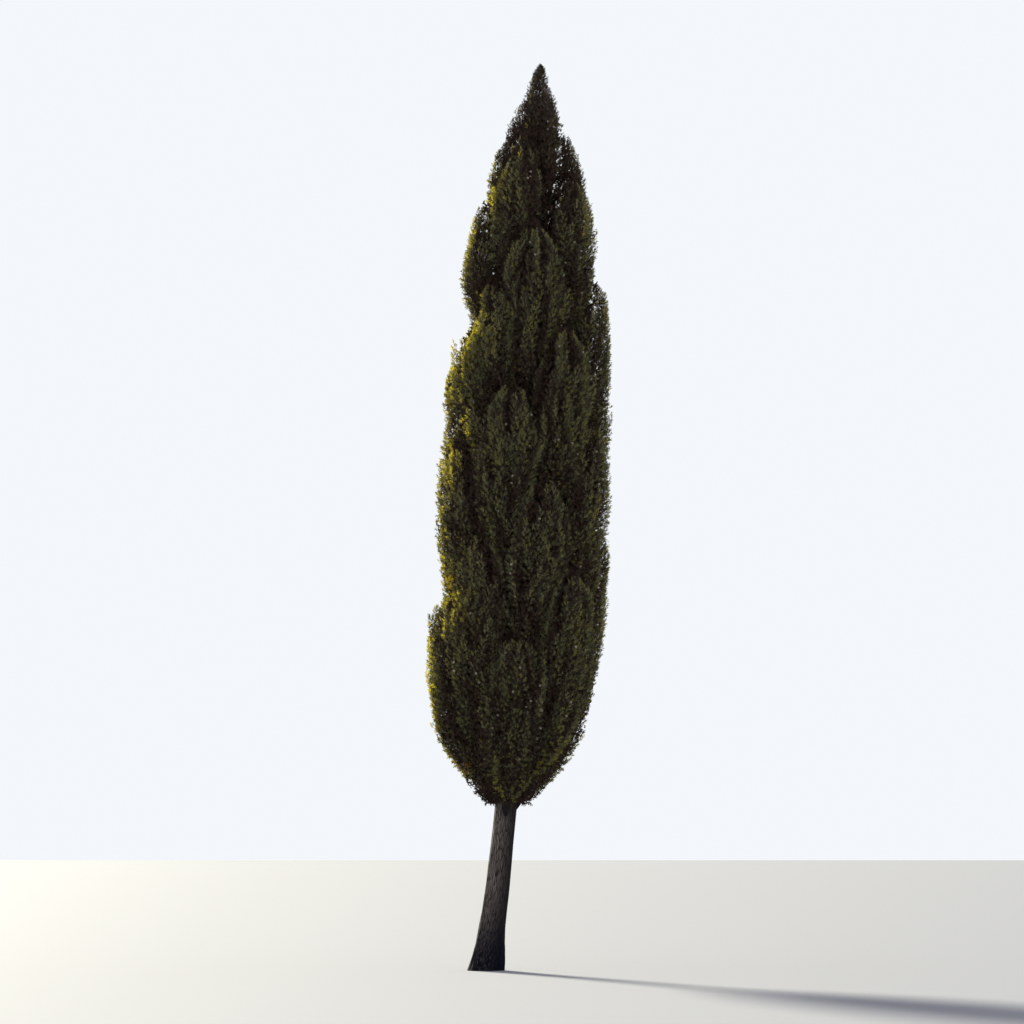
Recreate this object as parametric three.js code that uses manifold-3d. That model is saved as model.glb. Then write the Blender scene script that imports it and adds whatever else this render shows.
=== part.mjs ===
// Pencil cypress: a narrow, upright conifer about 12 m tall, in millimetres, with +Z up.
// The origin is the middle of the flat cut under the trunk, at ground level.
// The trunk leans at its foot and straightens as it rises. Upswept boughs leave it in a spiral, and
// each bears one plume of foliage, a flame-shaped mass that stands beside its neighbours. The top
// plume, the leader, stands on the trunk's tip.
import * as THREE from "three";
import { mergeVertices } from "three/addons/utils/BufferGeometryUtils.js";
import Module from "manifold-3d";

const wasm = await Module();
wasm.setup();

// The whole tree
const TREE_HEIGHT = 12000;
const CROWN_FOOT = 2080; // where the lowest foliage begins
const CROWN_RADIUS = 1175;
const CROWN_WIDEST = 0.24; // height of the widest place, as a share of the crown's height
const BLUNTNESS = 3.5; // exponent of the upper outline of the crown and of a plume: 1 is a cone
const CLEARANCE = 0.3; // between neighbours that touch on the living tree
const FINEST = 0.2; // smaller details are left out of the limbs
const FINEST_LEAF = 4; // and of the foliage

// Trunk
const TRUNK_TOP = 11200;
const TRUNK_RADIUS = 172;
const TRUNK_TIP_RADIUS = 12;
const TRUNK_TAPER = 0.65; // exponent: under 1 keeps the trunk stout until high in the crown
const TRUNK_SIDES = 15;
const TRUNK_RINGS = 22;
const FLARE_RADIUS = 62;
const FLARE_HEIGHT = 330;
const FLARE_ROOTS = 5;
const FLARE_DEPTH = 0.38;
const LEAN = 270; // sideways shift that the foot's lean adds
const LEAN_HEIGHT = 1670; // height over which the lean dies away
const LEAN_SLOPE = 0.038; // slight lean that stays up to the tip
const SWAY = 28;
const SWAY_HEIGHT = 900;

// Plumes and their boughs
const SIDE_PLUMES = 29;
const GOLDEN_ANGLE = Math.PI * (3 - Math.sqrt(5));
const LOWEST_TIP = 4300;
const TIP_STEP = 255; // rise from one plume's tip to the next
const LOWEST_FOOT = 2190;
const HIGHEST_FOOT = 9500;
const FOOT_SPREAD = 1.5; // exponent: over 1 crowds the feet low in the crown
const PLUME_FACING_LEFT = 2; // this plume stands straight to the left, at -X
const PLUME_WIDEST = 0.45;
const PLUME_RADIUS_SHARE = 0.54; // of the crown's radius at the same height
const PLUME_TIP_SHARE = 0.78; // how far out a plume's tip stands, of the crown's radius
const PLUME_SWING = 0.5; // exponent: under 1 swings a plume out early and then straight up
const HOLLOW_LOW = 120; // leafless room round the trunk at the crown's foot
const HOLLOW_HIGH = 14; // and at its top
const LEADER_FOOT = 9700;
const LEADER_RADIUS = 540;
const LEADER_WIDEST = 0.42;
const LEADER_BLUNTNESS = 1.3;
const BOUGH_LEAST_HOLLOW = 60; // with less room than this, a plume's stem meets the trunk itself
const BOUGH_SLIMNESS = 0.013; // a limb's radius for each unit of its plume's height
const BOUGH_RISE = 1; // rise of a bough for each unit that it reaches out

// Foliage
const CORE_SHARE = 0.62; // of the plume's own space
const CORE_FOOT = 0.03; // share of the plume's height where the dense foliage begins
const CORE_TOP = 0.96;
const CORE_BLUNTNESS = 1.4; // exponent: over 1 blunts a core's foot and sharpens its tip
const WALL_RUN = 200; // a plume's walls run on this far beyond its foot and its tip
const LIMB_ROOM = 8; // kept free in the cores round other plumes' limbs
const CORE_SIDES = 8;
const CORE_RINGS = 7;
const SPRAY_GAP = 10; // least gap between a spray and another plume
const SPRAYS_PER_PLUME = 10;
const SPRAY_LENGTH = 720;
const SPRAY_THICKNESS = 0.12; // of its length
// Outline of a spray as a three-toothed blade: share along its length, share of its length across
const SPRAY_OUTLINE = [
  [0, 0],
  [0.5, -0.17],
  [0.57, -0.08],
  [1, 0.02],
  [0.66, 0.09],
  [0.54, 0.19],
];
const CONE_RADIUS = 26;

const UP = new THREE.Vector3(0, 0, 1);
const clamp = THREE.MathUtils.clamp;
const lerp = THREE.MathUtils.lerp;

// The same numbers on every run, from 0 to 1
let seed = 2024;
function random() {
  seed = (seed * 1664525 + 1013904223) % 4294967296;
  return seed / 4294967296;
}
const vary = (spread) => (random() * 2 - 1) * spread;

// Solids

// A geometry with each corner once, and nothing but its position
function bare(geometry) {
  const plain = geometry.clone();
  plain.deleteAttribute("normal");
  plain.deleteAttribute("uv");
  return mergeVertices(plain, 1e-4);
}

// A three.js primitive, its axis turned up +Z, with every corner moved by place(point)
function shaped(primitive, place) {
  const made = bare(primitive.rotateX(Math.PI / 2));
  const position = made.attributes.position;
  for (let i = 0; i < position.count; i++) {
    const moved = place(new THREE.Vector3().fromBufferAttribute(position, i));
    position.setXYZ(i, moved.x, moved.y, moved.z);
  }
  return made;
}

function solidOf(geometry) {
  const vertProperties = geometry.attributes.position.array;
  const triVerts = new Uint32Array(geometry.index.array);
  return new wasm.Manifold(new wasm.Mesh({ numProp: 3, vertProperties, triVerts }));
}

function geometryOf(solid) {
  const mesh = solid.getMesh();
  const geometry = new THREE.BufferGeometry();
  geometry.setAttribute("position", new THREE.BufferAttribute(mesh.vertProperties, 3));
  geometry.setIndex(new THREE.BufferAttribute(mesh.triVerts, 1));
  return geometry;
}

// The largest body of a solid, without the shortest edges. Loose scraps and sealed hollows are left out.
function mainBody(solid) {
  const parts = solid.simplify(FINEST).decompose();
  return parts.reduce((a, b) => (b.volume() > a.volume() ? b : a));
}

const clearOf = (solid, others, gap) => others.every((other) => solid.minGap(other, gap) >= gap);

// A tapering limb along a curve
function limbSolid(curve, footRadius, tipRadius, sides, rings) {
  const frames = curve.computeFrenetFrames(rings);
  const geometry = shaped(new THREE.CylinderGeometry(1, 1, 1, sides, rings), (point) => {
    const ring = Math.round((point.z + 0.5) * rings);
    const radius = lerp(footRadius, tipRadius, ring / rings);
    return curve
      .getPoint(ring / rings)
      .addScaledVector(frames.normals[ring], point.x * radius)
      .addScaledVector(frames.binormals[ring], point.y * radius);
  });
  return solidOf(geometry);
}

// Trunk

function trunkAxis(z) {
  const lean = LEAN * (1 - Math.exp(-z / LEAN_HEIGHT)) + LEAN_SLOPE * z;
  return new THREE.Vector3(lean, SWAY * Math.sin(z / SWAY_HEIGHT), z);
}

function trunkRadius(z) {
  const left = Math.max(0, 1 - z / TRUNK_TOP);
  return TRUNK_TIP_RADIUS + (TRUNK_RADIUS - TRUNK_TIP_RADIUS) * left ** TRUNK_TAPER;
}

// The trunk, or with extra the room it takes with that much clearance round it
function trunkSolid(extra) {
  const geometry = shaped(
    new THREE.CylinderGeometry(1, 1, 1, TRUNK_SIDES, TRUNK_RINGS),
    (point) => {
      const z = (TRUNK_TOP + extra) * (point.z + 0.5) ** 1.7;
      const roots = 1 + FLARE_DEPTH * Math.cos(FLARE_ROOTS * Math.atan2(point.y, point.x));
      const flare = FLARE_RADIUS * roots * Math.exp(-z / FLARE_HEIGHT);
      const radius = trunkRadius(z) + flare + extra;
      return trunkAxis(z).add(new THREE.Vector3(point.x * radius, point.y * radius, 0));
    },
  );
  return solidOf(geometry);
}

// Room that the crown and its plumes take

// A spire's outline: its half width at share t of its height, with a round foot and a pointed tip
function spire(t, widest, bluntness) {
  if (t <= 0 || t >= 1) return 0;
  if (t < widest) return (1 - ((widest - t) / widest) ** 2.4) ** (1 / 2.4);
  return 1 - ((t - widest) / (1 - widest)) ** bluntness;
}

const crownShare = (z) => (z - CROWN_FOOT) / (TREE_HEIGHT - CROWN_FOOT);
const crownRadius = (z) => CROWN_RADIUS * spire(crownShare(z), CROWN_WIDEST, BLUNTNESS);
const hollowRadius = (z) =>
  trunkRadius(z) + lerp(HOLLOW_LOW, HOLLOW_HIGH, clamp(crownShare(z), 0, 1));

function makePlumes() {
  const plumes = [];
  for (let i = 0; i < SIDE_PLUMES; i++) {
    const tip = LOWEST_TIP + TIP_STEP * i + vary(60);
    const climb = (i / (SIDE_PLUMES - 1)) ** FOOT_SPREAD;
    plumes.push({
      name: `foliage_${String(i + 1).padStart(2, "0")}`,
      angle: Math.PI + (i - PLUME_FACING_LEFT) * GOLDEN_ANGLE + vary(0.12),
      foot: lerp(LOWEST_FOOT, HIGHEST_FOOT, climb),
      tip,
      fullness: 1 + vary(0.1),
    });
  }
  plumes.push({ name: "foliage_top", angle: 0, foot: LEADER_FOOT, tip: TREE_HEIGHT, leader: true });
  return plumes;
}

const plumeShare = (plume, z) => clamp((z - plume.foot) / (plume.tip - plume.foot), 0, 1);

// The middle of a plume at height z. Its limb runs through these points.
function heart(plume, z) {
  const middle = trunkAxis(z);
  if (plume.leader) return middle;
  const inner = hollowRadius(z);
  const outer = PLUME_TIP_SHARE * crownRadius(z);
  const out = inner + Math.max(0, outer - inner) * plumeShare(plume, z) ** PLUME_SWING;
  return middle.add(new THREE.Vector3(Math.cos(plume.angle) * out, Math.sin(plume.angle) * out, 0));
}

// How far a plume's foliage may reach from its heart at height z
function reach(plume, z) {
  const share = plumeShare(plume, z);
  if (plume.leader) return LEADER_RADIUS * spire(share, LEADER_WIDEST, LEADER_BLUNTNESS);
  const side = PLUME_RADIUS_SHARE * plume.fullness * crownRadius(z);
  return side * spire(share, PLUME_WIDEST, BLUNTNESS);
}

// How far a plume's own space reaches from its heart at height z, in one direction.
// A flat wall parts it from each neighbour, nearer to the slimmer of the two.
function ownReach(plume, plumes, z, angle) {
  const middle = heart(plume, z);
  const way = new THREE.Vector3(Math.cos(angle), Math.sin(angle), 0);
  const room = reach(plume, z);
  let limit = room;
  const wall = (distance, towards) => {
    const facing = way.dot(towards.clone().normalize());
    if (facing > 0) limit = Math.min(limit, distance / facing);
  };
  for (const other of plumes) {
    if (other === plume || z < other.foot - WALL_RUN || z > other.tip + WALL_RUN) continue;
    const towards = heart(other, z).sub(middle);
    wall((towards.length() * room) / (room + reach(other, z)), towards);
  }
  if (plume.leader) return limit;
  const inward = trunkAxis(z).sub(middle);
  wall(inward.length() - hollowRadius(z), inward);
  const side = way.dot(inward);
  const crown = Math.sqrt(Math.max(0, side ** 2 + crownRadius(z) ** 2 - inward.lengthSq()));
  return clamp(side + crown, 0, limit);
}

function edgePoint(plume, plumes, z, angle, share) {
  const out = share * ownReach(plume, plumes, z, angle);
  return heart(plume, z).add(new THREE.Vector3(Math.cos(angle) * out, Math.sin(angle) * out, 0));
}

// Boughs

// Where a plume's stem leaves its foot, and how it heads out
const stemBend = (plume) => heart(plume, plume.foot + (plume.tip - plume.foot) * CORE_FOOT);

// From the trunk's middle out to a plume's foot, where it heads the way that the stem goes on
function boughCurve(plume) {
  const end = heart(plume, plume.foot);
  const start = trunkAxis(plume.foot - BOUGH_RISE * hollowRadius(plume.foot));
  const heading = stemBend(plume).sub(end).normalize();
  const bend = end.clone().addScaledVector(heading, -0.5 * end.distanceTo(start));
  return new THREE.QuadraticBezierCurve3(start, bend, end);
}

const limbRadius = (plume) => BOUGH_SLIMNESS * (plume.tip - plume.foot);
const hasBough = (plume) =>
  !plume.leader && hollowRadius(plume.foot) - trunkRadius(plume.foot) > BOUGH_LEAST_HOLLOW;

function boughSolid(plume, extra) {
  const radius = limbRadius(plume) + extra;
  return limbSolid(boughCurve(plume), radius * 1.25, radius, 6, 4);
}

// Foliage

function coreSolid(plume, plumes) {
  const height = plume.tip - plume.foot;
  const geometry = shaped(new THREE.SphereGeometry(1, CORE_SIDES, CORE_RINGS), (point) => {
    const climb = (1 - Math.acos(clamp(point.z, -1, 1)) / Math.PI) ** CORE_BLUNTNESS;
    const z = plume.foot + height * lerp(CORE_FOOT, CORE_TOP, climb);
    if (Math.hypot(point.x, point.y) < 1e-6) return heart(plume, z);
    return edgePoint(plume, plumes, z, Math.atan2(point.y, point.x), CORE_SHARE);
  });
  return solidOf(geometry);
}

// The three-sided stem of a plume, from its bough's tip or from the trunk into its core
function stemSolid(plume, extra) {
  const radius = limbRadius(plume) * 0.7 + extra;
  const bend = stemBend(plume);
  const inside = heart(plume, lerp(plume.foot, plume.tip, CORE_FOOT + 0.12));
  let start = heart(plume, plume.foot);
  start.addScaledVector(bend.clone().sub(start).normalize(), CLEARANCE);
  if (!hasBough(plume)) start = boughCurve(plume).getPoint(0);
  return limbSolid(new THREE.QuadraticBezierCurve3(start, bend, inside), radius, radius * 0.6, 3, 2);
}

// One spray of needles: a thin three-toothed blade, thickest along its middle
function spraySolid(root, tip, acrossHint) {
  const along = tip.clone().sub(root);
  const length = along.length();
  const across = acrossHint.clone().addScaledVector(along, -acrossHint.dot(along) / length ** 2);
  across.normalize();
  const proud = along.clone().cross(across).normalize();
  const middle = root.clone().addScaledVector(along, 0.5);
  const geometry = shaped(new THREE.SphereGeometry(1, SPRAY_OUTLINE.length, 2), (point) => {
    if (Math.abs(point.z) > 0.5)
      return middle.clone().addScaledVector(proud, (Math.sign(point.z) * SPRAY_THICKNESS * length) / 2);
    const turn = Math.atan2(point.y, point.x) / (2 * Math.PI) + 1;
    const corner = Math.round(turn * SPRAY_OUTLINE.length) % SPRAY_OUTLINE.length;
    const [forward, sideways] = SPRAY_OUTLINE[corner];
    return root
      .clone()
      .addScaledVector(along, forward)
      .addScaledVector(across, sideways * length);
  });
  return solidOf(geometry);
}

// Sprays stand out of the core in a spiral, and end at the edge of the plume's own space
function spraySolids(plume, plumes) {
  const height = plume.tip - plume.foot;
  const sprays = [];
  for (let i = 0; i < SPRAYS_PER_PLUME; i++) {
    const share = lerp(0.06, 0.86, (i + 0.5) / SPRAYS_PER_PLUME);
    const angle = i * GOLDEN_ANGLE + vary(0.3);
    const z = plume.foot + height * share;
    const rise = Math.min(SPRAY_LENGTH * (1 + vary(0.2)), (plume.tip - z) * 0.8, height * 0.33);
    const root = edgePoint(plume, plumes, z, angle, CORE_SHARE * 0.75);
    const tip = edgePoint(plume, plumes, z + rise, angle, 0.97);
    const facing = angle + (i % 2 ? Math.PI / 2 : 0) + vary(0.4);
    sprays.push(spraySolid(root, tip, new THREE.Vector3(Math.cos(facing), Math.sin(facing), 0)));
  }
  const crest = heart(plume, lerp(plume.foot, plume.tip, 0.8));
  const facing = plume.angle + Math.PI / 2;
  const flat = new THREE.Vector3(Math.cos(facing), Math.sin(facing), 0);
  sprays.push(spraySolid(crest, heart(plume, plume.tip), flat));
  return sprays;
}

// A round woody seed cone, half sunk in the foliage on the plume's outer side
function coneSolid(plume, plumes) {
  const z = lerp(plume.foot, plume.tip, 0.62);
  const place = edgePoint(plume, plumes, z, plume.angle + 0.6, CORE_SHARE);
  return solidOf(bare(new THREE.IcosahedronGeometry(CONE_RADIUS, 0)).translate(place.x, place.y, place.z));
}

// Assembly

const barkMaterial = new THREE.MeshStandardMaterial({ color: 0x6b6258, roughness: 0.95, metalness: 0 });
const foliageMaterial = new THREE.MeshStandardMaterial({ color: 0x3d4a26, roughness: 0.85, metalness: 0 });

const tree = new THREE.Group();
const limbs = new THREE.Group();
const crown = new THREE.Group();
tree.add(limbs, crown);

function addMesh(group, name, solid, material) {
  const mesh = new THREE.Mesh(geometryOf(solid), material);
  mesh.name = name;
  group.add(mesh);
}

const plumes = makePlumes();
const trunk = trunkSolid(0);
const trunkRoom = trunkSolid(CLEARANCE);
addMesh(limbs, "trunk", trunk, barkMaterial);

const boughPlumes = plumes.filter(hasBough);
const boughs = boughPlumes.map((plume) => mainBody(boughSolid(plume, 0).subtract(trunkRoom)));
boughs.forEach((bough, i) => {
  addMesh(limbs, `bough_${String(i + 1).padStart(2, "0")}`, bough, barkMaterial);
});

const stemmed = plumes.filter((plume) => !plume.leader);
const boughRoom = wasm.Manifold.union(boughPlumes.map((plume) => boughSolid(plume, LIMB_ROOM)));
const stemRooms = stemmed.map((plume) => stemSolid(plume, LIMB_ROOM));
const cores = plumes.map((plume, i) => {
  const otherStems = wasm.Manifold.union(stemRooms.filter((room, k) => k !== i));
  return mainBody(coreSolid(plume, plumes).subtract(otherStems).subtract(boughRoom));
});
const masses = [...cores];
plumes.forEach((plume, i) => {
  const others = [trunkRoom, ...boughs, ...masses.filter((mass, k) => k !== i)];
  const grown = [...spraySolids(plume, plumes), coneSolid(plume, plumes)];
  const fitting = grown.filter((piece) => clearOf(piece, others, SPRAY_GAP));
  masses[i] = wasm.Manifold.union([cores[i], ...fitting]).simplify(FINEST_LEAF);
  const whole = plume.leader ? masses[i] : masses[i].add(stemSolid(plume, 0));
  addMesh(crown, plume.name, mainBody(whole.subtract(trunkRoom)), foliageMaterial);
});

export default tree;
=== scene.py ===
"""Dresses the pencil cypress in bark, twigs, leaves and cones. Metres, +Z up, origin under the trunk."""
import math

import bpy
import numpy as np
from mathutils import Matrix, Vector


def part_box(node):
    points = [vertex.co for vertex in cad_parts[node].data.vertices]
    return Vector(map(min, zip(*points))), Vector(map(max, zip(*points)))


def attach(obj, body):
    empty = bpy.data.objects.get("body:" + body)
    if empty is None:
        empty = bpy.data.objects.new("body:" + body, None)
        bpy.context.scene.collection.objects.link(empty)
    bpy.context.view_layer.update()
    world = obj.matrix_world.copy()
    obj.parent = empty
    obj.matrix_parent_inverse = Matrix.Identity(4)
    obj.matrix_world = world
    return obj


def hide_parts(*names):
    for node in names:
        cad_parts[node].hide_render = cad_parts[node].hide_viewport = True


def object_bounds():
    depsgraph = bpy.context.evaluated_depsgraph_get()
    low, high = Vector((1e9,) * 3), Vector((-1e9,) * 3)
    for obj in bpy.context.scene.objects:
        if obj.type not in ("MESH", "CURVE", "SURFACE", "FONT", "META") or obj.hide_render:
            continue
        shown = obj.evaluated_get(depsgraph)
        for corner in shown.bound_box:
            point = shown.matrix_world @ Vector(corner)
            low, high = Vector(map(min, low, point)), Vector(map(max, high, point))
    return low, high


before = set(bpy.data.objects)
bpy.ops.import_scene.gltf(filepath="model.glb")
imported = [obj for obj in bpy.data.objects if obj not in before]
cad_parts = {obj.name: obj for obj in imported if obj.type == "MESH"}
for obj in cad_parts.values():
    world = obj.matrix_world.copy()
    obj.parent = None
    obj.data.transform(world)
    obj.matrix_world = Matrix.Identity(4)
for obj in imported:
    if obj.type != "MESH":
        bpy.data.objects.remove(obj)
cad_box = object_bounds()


# Trunk: one tapering stem with a five-lobed root flare, which leans at its foot and straightens as it
# rises. Its bark is thin and grey-brown, in long shallow upright ribs with dark fissures between them.
# It is drawn up straight, ring by ring, roughened, leaned over, and cut flat at the ground.
TRUNK_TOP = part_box("trunk")[1].z
TRUNK_RADIUS = 0.172
TRUNK_TIP_RADIUS = 0.012
TRUNK_TAPER = 0.65  # exponent: 1 is a cone
FLARE_RADIUS = 0.062
FLARE_HEIGHT = 0.33
FLARE_ROOTS = 5
FLARE_DEPTH = 0.38  # how far its roots stand out, as a share of its radius
LEAN = 0.27  # how far the trunk leans sideways over its first few metres
LEAN_HEIGHT = 1.67
LEAN_SLOPE = 0.038  # sideways per metre of height, all the way up
SWAY = 0.028
SWAY_HEIGHT = 0.9
TRUNK_SIDES = 48
BARE_HEIGHT = 2.7  # below this the trunk shows, and its rings are fine
BARE_STEP = 0.1
HIDDEN_STEP = 0.4
FLUTE_RELIEF = (0.042, 16)  # depth, and how many times longer than wide
FISSURE_RELIEF = (0.008, 26)
SMOOTH_ANGLE = math.radians(50)  # sharper edges stay sharp
GRAIN = "grain"  # attribute: where a point was on the straight stem, so that the bark runs along it


def deselect_all():
    if bpy.context.object and bpy.context.object.mode != "OBJECT":
        bpy.ops.object.mode_set(mode="OBJECT")
    bpy.ops.object.select_all(action="DESELECT")


def make_active(piece):
    deselect_all()
    piece.select_set(True)
    bpy.context.view_layer.objects.active = piece


def points_of(piece):
    points = np.empty(len(piece.data.vertices) * 3)
    piece.data.vertices.foreach_get("co", points)
    return points.reshape(-1, 3)


def set_points(piece, points):
    piece.data.vertices.foreach_set("co", points.ravel())
    piece.data.update()


def keep_grain(piece, points):
    """Stores these points on the piece, for the bark to follow."""
    piece.data.attributes.new(GRAIN, "FLOAT_VECTOR", "POINT").data.foreach_set("vector", points.ravel())


def subdivide(piece, kind, levels):
    make_active(piece)
    bpy.ops.object.modifier_add(type="SUBSURF")
    finer = piece.modifiers[-1]
    finer.subdivision_type = kind
    finer.levels = levels
    finer.render_levels = levels
    bpy.ops.object.modifier_apply(modifier=finer.name)


def roughen(piece, pattern, depth, stretch):
    """Raises and sinks the surface by a solid pattern, drawn out along Z by stretch."""
    bpy.ops.object.empty_add(location=(0, 0, 0))
    ruler = bpy.context.object
    ruler.scale = (1, 1, stretch)
    make_active(piece)
    bpy.ops.object.modifier_add(type="DISPLACE")
    relief = piece.modifiers[-1]
    relief.texture = pattern
    relief.texture_coords = "OBJECT"
    relief.texture_coords_object = ruler
    relief.strength = depth
    relief.mid_level = 0.5
    bpy.ops.object.modifier_apply(modifier=relief.name)
    bpy.data.objects.remove(ruler)


def between(first, last, share):
    """first where share is 0 and last where it is 1."""
    return first + (last - first) * share


def trunk_axis(z):
    """The middle of the trunk at height z."""
    z = np.asarray(z, float)
    lean = LEAN * (1 - np.exp(-z / LEAN_HEIGHT)) + LEAN_SLOPE * z
    return np.stack([lean, SWAY * np.sin(z / SWAY_HEIGHT), z], axis=-1)


def trunk_radius(z):
    left = np.maximum(0, 1 - np.asarray(z, float) / TRUNK_TOP)
    return between(TRUNK_TIP_RADIUS, TRUNK_RADIUS, left**TRUNK_TAPER)


def ring_heights():
    """Of the rings that the trunk is drawn up by."""
    bare = np.arange(0, BARE_HEIGHT, BARE_STEP)
    hidden = np.arange(BARE_HEIGHT, TRUNK_TOP - HIDDEN_STEP / 2, HIDDEN_STEP)
    return [*bare, *hidden, TRUNK_TOP]


def straight_trunk():
    """The stem before it leans, with its root flare."""
    deselect_all()
    bpy.ops.mesh.primitive_circle_add(vertices=TRUNK_SIDES, radius=1, location=(0, 0, 0))
    stem = bpy.context.object
    bpy.ops.object.mode_set(mode="EDIT")
    heights = ring_heights()
    for low, high in zip(heights, heights[1:]):
        rise = {"value": (0, 0, high - low)}
        bpy.ops.mesh.extrude_edges_move(TRANSFORM_OT_translate=rise)
    bpy.ops.mesh.select_all(action="SELECT")
    bpy.ops.mesh.normals_make_consistent(inside=False)
    bpy.ops.object.mode_set(mode="OBJECT")
    points = points_of(stem)
    turn = np.arctan2(points[:, 1], points[:, 0])
    z = points[:, 2]
    roots = 1 + FLARE_DEPTH * np.cos(FLARE_ROOTS * turn)
    radius = trunk_radius(z) + FLARE_RADIUS * roots * np.exp(-z / FLARE_HEIGHT)
    points[:, 0] = radius * np.cos(turn)
    points[:, 1] = radius * np.sin(turn)
    set_points(stem, points)
    return stem


def close_end(piece, low, high):
    """Fills the open ring whose points lie between these heights."""
    make_active(piece)
    bpy.ops.object.mode_set(mode="EDIT")
    bpy.ops.mesh.select_all(action="DESELECT")
    bpy.ops.object.mode_set(mode="OBJECT")
    z = points_of(piece)[:, 2]
    piece.data.vertices.foreach_set("select", (z >= low) & (z <= high))
    bpy.ops.object.mode_set(mode="EDIT")
    bpy.ops.mesh.select_mode(type="VERT")
    bpy.ops.mesh.edge_face_add()
    bpy.ops.object.mode_set(mode="OBJECT")


trunk = straight_trunk()
trunk.name = "trunk_bark"
subdivide(trunk, "CATMULL_CLARK", 2)

flutes = bpy.data.textures.new("flutes", "CLOUDS")
flutes.noise_scale = 0.085
flutes.noise_depth = 1
fissures = bpy.data.textures.new("fissures", "VORONOI")
fissures.noise_scale = 0.03
fissures.weight_1 = -1
fissures.weight_2 = 1
fissures.noise_intensity = 1.2
roughen(trunk, flutes, *FLUTE_RELIEF)
roughen(trunk, fissures, *FISSURE_RELIEF)

# The relief may have moved the lowest ring up or down, so it is laid flat on the ground again.
trunk_points = points_of(trunk)
foot_ring = trunk_points[:, 2] < BARE_STEP / 16
trunk_points[foot_ring, 2] = 0
trunk_end = trunk_points[:, 2].max()
keep_grain(trunk, trunk_points)
trunk_points[:, :2] += trunk_axis(trunk_points[:, 2])[:, :2]
set_points(trunk, trunk_points)
close_end(trunk, -1, 1e-6)
close_end(trunk, trunk_end - 1e-3, trunk_end)
bpy.ops.object.shade_smooth_by_angle(angle=SMOOTH_ANGLE)


class Finish:
    """One material and its nodes."""

    def __init__(self, name):
        self.material = bpy.data.materials.new(name)
        self.material.use_nodes = True
        self.tree = self.material.node_tree
        self.shader = self.tree.nodes["Principled BSDF"]

    def add(self, kind, settings, inputs):
        """A new node: its settings come first, then the values or links of its sockets."""
        made = self.tree.nodes.new(kind)
        for name, value in settings.items():
            setattr(made, name, value)
        for name, value in inputs.items():
            self.feed(made.inputs[name], value)
        return made

    def feed(self, socket, value):
        if isinstance(value, Amount):
            value = value.socket
        if isinstance(value, bpy.types.NodeSocket):
            self.tree.links.new(value, socket)
        else:
            socket.default_value = value

    def amount(self, node, output=0):
        return Amount(self, node.outputs[output])

    def blend(self, factor, dark, light):
        """A colour between dark and light."""
        mixed = self.add("ShaderNodeMix", {"data_type": "RGBA"}, {0: factor, 6: dark, 7: light})
        return mixed.outputs[2]


class Amount:
    """A number that varies over a surface. Sums of it add the Math nodes that work it out."""

    def __init__(self, finish, socket):
        self.finish = finish
        self.socket = socket

    def math(self, operation, first, second):
        settings = {"operation": operation}
        return self.finish.amount(self.finish.add("ShaderNodeMath", settings, {0: first, 1: second}))

    def __add__(self, other):
        return self.math("ADD", self, other)

    def __radd__(self, other):
        return self.math("ADD", other, self)

    def __sub__(self, other):
        return self.math("SUBTRACT", self, other)

    def __rsub__(self, other):
        return self.math("SUBTRACT", other, self)

    def __mul__(self, other):
        return self.math("MULTIPLY", self, other)

    def __rmul__(self, other):
        return self.math("MULTIPLY", other, self)

    def ranged(self, low, high):
        """0 at low and 1 at high, smoothly."""
        settings = {"interpolation_type": "SMOOTHSTEP"}
        inputs = {"Value": self, "From Min": low, "From Max": high}
        return self.finish.amount(self.finish.add("ShaderNodeMapRange", settings, inputs))


# The cracks' colour is their own dark, and is also used as painted shade on the bark's far side.
FISSURE_AND_SHADE_COLOUR = (0.014, 0.011, 0.012, 1)
BARK_COLOUR = (0.082, 0.069, 0.064, 1)
RIDGE_COLOUR = (0.250, 0.222, 0.195, 1)
# Painted shade at the trunk's foot: a blue-black.
FOOT_SHADE_COLOUR = (0.003, 0.004, 0.012, 1)
PAINTED_LIGHT_SIDE = (-0.75, -0.3, 0)  # the side painted lighter as if lit, while the far side is painted in shade


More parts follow.
